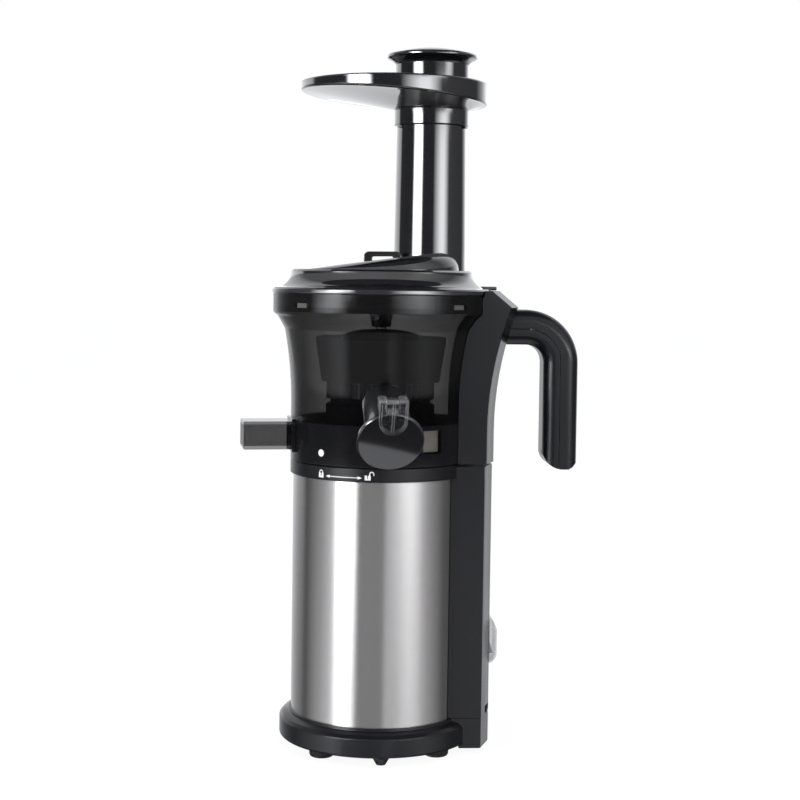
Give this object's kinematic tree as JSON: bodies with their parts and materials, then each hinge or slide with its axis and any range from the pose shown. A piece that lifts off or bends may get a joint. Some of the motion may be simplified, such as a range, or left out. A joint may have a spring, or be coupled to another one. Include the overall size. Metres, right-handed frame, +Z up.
{
  "type": "cold press juicer",
  "caption": "Upright slow juicer: round steel-wrapped motor base, twist-on smoke bowl with hinged juice cap, auger, strainer, lid with tall feed chute, tray and pusher.",
  "frame": {"origin": "on the drive axis, in the plane of the undersides of the four feet", "axes": "+Z up along the drive axis, -Y towards the pulp duct, +Y towards the handle, +X towards the juice spout"},
  "size_m": [0.1652, 0.2021, 0.4179],
  "materials": {
    "base_black": "black moulded plastic with a low gloss",
    "deck_black": "black moulded plastic, glossy, with printed white marks",
    "steel_brushed": "stainless steel brushed round the body",
    "foot_rubber": "soft black rubber",
    "screw_steel": "turned steel",
    "cover_clear": "clear soft plastic",
    "rocker_blue": "blue-grey plastic",
    "motor_metal": "plain zinc-plated metal",
    "bearing_steel": "ground steel",
    "stator_iron": "iron laminations",
    "fan_plastic": "dark nylon",
    "gear_plastic": "natural acetal",
    "gear_brass": "machined brass",
    "auger_black": "satin black plastic",
    "mesh_steel": "etched steel screen",
    "bowl_smoke": "clear smoke-grey plastic, polished",
    "seal_silicone": "translucent silicone",
    "gloss_black": "deep black polished plastic",
    "lever_clear": "clear smoke-grey plastic",
    "spine_black": "black moulded plastic, semi-gloss"
  },
  "bodies": {
    "base": {"base_skirt": "base_black", "bottom_plate": "base_black", "rubber_feet": "foot_rubber", "base_screws": "screw_steel", "steel_sleeve": "steel_brushed", "motor_housing": "base_black", "top_deck": "deck_black", "shaft_seal": "foot_rubber", "spine_shell": "base_black", "rear_cover": "base_black", "cord_gland": "base_black", "switch_body": "base_black", "switch_bezel": "base_black", "switch_cover": "cover_clear", "motor_can": "motor_metal", "stator": "stator_iron", "motor_bearings": "bearing_steel", "gearbox_case": "motor_metal", "gearbox_cover": "motor_metal", "counter_shaft": "screw_steel", "output_bearing": "bearing_steel"},
    "rocker": {"switch_rocker": "rocker_blue"},
    "rotor": {"rotor_core": "stator_iron", "rotor_shaft": "screw_steel", "cooling_fan": "fan_plastic"},
    "counter": {"counter_gear": "gear_plastic"},
    "drive": {"output_gear": "gear_brass", "drive_shaft": "screw_steel", "auger_socket": "gear_brass", "auger": "auger_black", "auger_pin": "screw_steel"},
    "bowl": {"bowl": "bowl_smoke", "bowl_gasket": "seal_silicone", "spout": "gloss_black", "strainer_frame": "auger_black", "strainer_mesh": "mesh_steel", "handle_mount": "spine_black", "spine_cover": "spine_black", "handle_outer": "spine_black", "handle_inner": "spine_black", "handle_bolts": "screw_steel"},
    "cap": {"juice_cap": "gloss_black", "cap_seal": "seal_silicone", "cap_lever": "lever_clear", "cap_pin": "screw_steel"},
    "lid": {"lid": "gloss_black", "lid_seal": "seal_silicone", "lid_bush": "gear_plastic", "feed_chute": "gloss_black"},
    "tray": {"feed_tray": "gloss_black"},
    "pusher": {"pusher": "gloss_black", "pusher_cap": "gloss_black"}
  },
  "joints": [
    {"name": "rotor_spin", "type": "hinge", "parent": "base", "child": "rotor", "pos_m": [0, 0, 0.08], "axis": [0, 0, 1], "continuous": true},
    {"name": "counter_spin", "type": "hinge", "parent": "base", "child": "counter", "pos_m": [0, -0.0226, 0.12], "axis": [0, 0, 1], "continuous": true},
    {"name": "drive_spin", "type": "hinge", "parent": "base", "child": "drive", "pos_m": [0, 0, 0.15], "axis": [0, 0, 1], "continuous": true},
    {"name": "rocker_press", "type": "hinge", "parent": "base", "child": "rocker", "pos_m": [0, 0.0645, 0.062], "axis": [-1, 0, 0], "range_deg": [0, 18]},
    {"name": "bowl_twist", "type": "hinge", "parent": "base", "child": "bowl", "pos_m": [0, 0, 0.1707], "axis": [0, 0, 1], "range_deg": [0, 29]},
    {"name": "cap_flip", "type": "hinge", "parent": "bowl", "child": "cap", "pos_m": [0.0853, 0.00168, 0.21144], "axis": [0.0523, -0.9986, 0], "range_deg": [0, 100]},
    {"name": "lid_twist", "type": "hinge", "parent": "bowl", "child": "lid", "pos_m": [0, 0, 0.27], "axis": [0, 0, 1], "range_deg": [0, 30]},
    {"name": "tray_lift", "type": "slide", "parent": "lid", "child": "tray", "axis": [0, 0, 1], "range_m": [0, 0.04]},
    {"name": "pusher_slide", "type": "slide", "parent": "tray", "child": "pusher", "axis": [0, 0, 1], "range_m": [0, 0.11]}
  ],
  "couplings": [
    {"joint": "counter_spin", "follows": "rotor_spin", "ratio": -0.25},
    {"joint": "drive_spin", "follows": "rotor_spin", "ratio": 0.0625}
  ]
}
